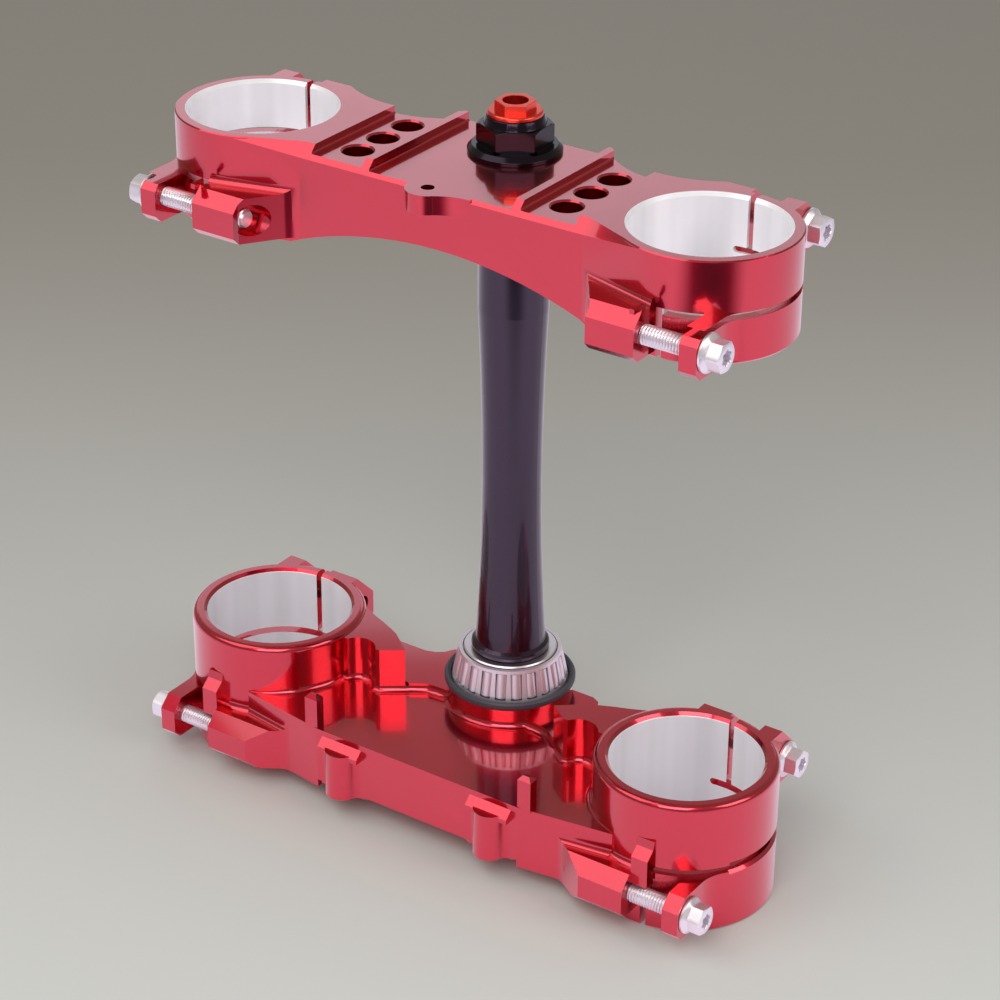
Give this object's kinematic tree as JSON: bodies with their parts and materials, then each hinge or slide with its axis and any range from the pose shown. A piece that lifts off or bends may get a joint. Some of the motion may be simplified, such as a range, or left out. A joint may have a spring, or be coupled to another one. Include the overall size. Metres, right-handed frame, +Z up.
{
  "type": "motorcycle triple clamp",
  "caption": "Milled upper and lower fork clamps joined by a hollow steering stem with its nut, lower taper roller bearing and clamp bolts.",
  "frame": {"origin": "on the steering axis, level with the flat underside of the lower clamp's rings", "axes": "+Z up the steering stem, +X to the right fork leg as seen from the front, +Y to the rear"},
  "size_m": [0.2781, 0.1025, 0.3013],
  "materials": {
    "red_anodised": "anodised, glossy",
    "black_anodised": "anodised, satin",
    "black_anodised_nut": "anodised, satin",
    "orange_anodised": "anodised",
    "seal_rubber": "matte",
    "bearing_steel": "ground",
    "cage_steel": "pressed",
    "roller_steel": "ground",
    "zinc_steel": "zinc plated"
  },
  "bodies": {
    "clamps": {"top_clamp": "red_anodised", "bottom_clamp": "red_anodised", "steering_stem": "black_anodised", "stem_nut": "black_anodised_nut", "stem_cap_bolt": "orange_anodised", "dust_seal": "seal_rubber", "bearing_inner_ring": "bearing_steel", "top_front_bolt_right": "zinc_steel", "top_front_bolt_left": "zinc_steel", "top_rear_bolt_right": "zinc_steel", "top_rear_bolt_left": "zinc_steel", "bottom_front_bolt_right": "zinc_steel", "bottom_front_bolt_left": "zinc_steel", "bottom_rear_bolt_right": "zinc_steel", "bottom_rear_bolt_left": "zinc_steel"},
    "roller_cage": {"bearing_cage": "cage_steel", "bearing_rollers": "roller_steel"}
  },
  "joints": [
    {"name": "bearing_spin", "type": "hinge", "parent": "clamps", "child": "roller_cage", "pos_m": [0, 0, 0.053], "axis": [0, 0, 1], "continuous": true}
  ]
}
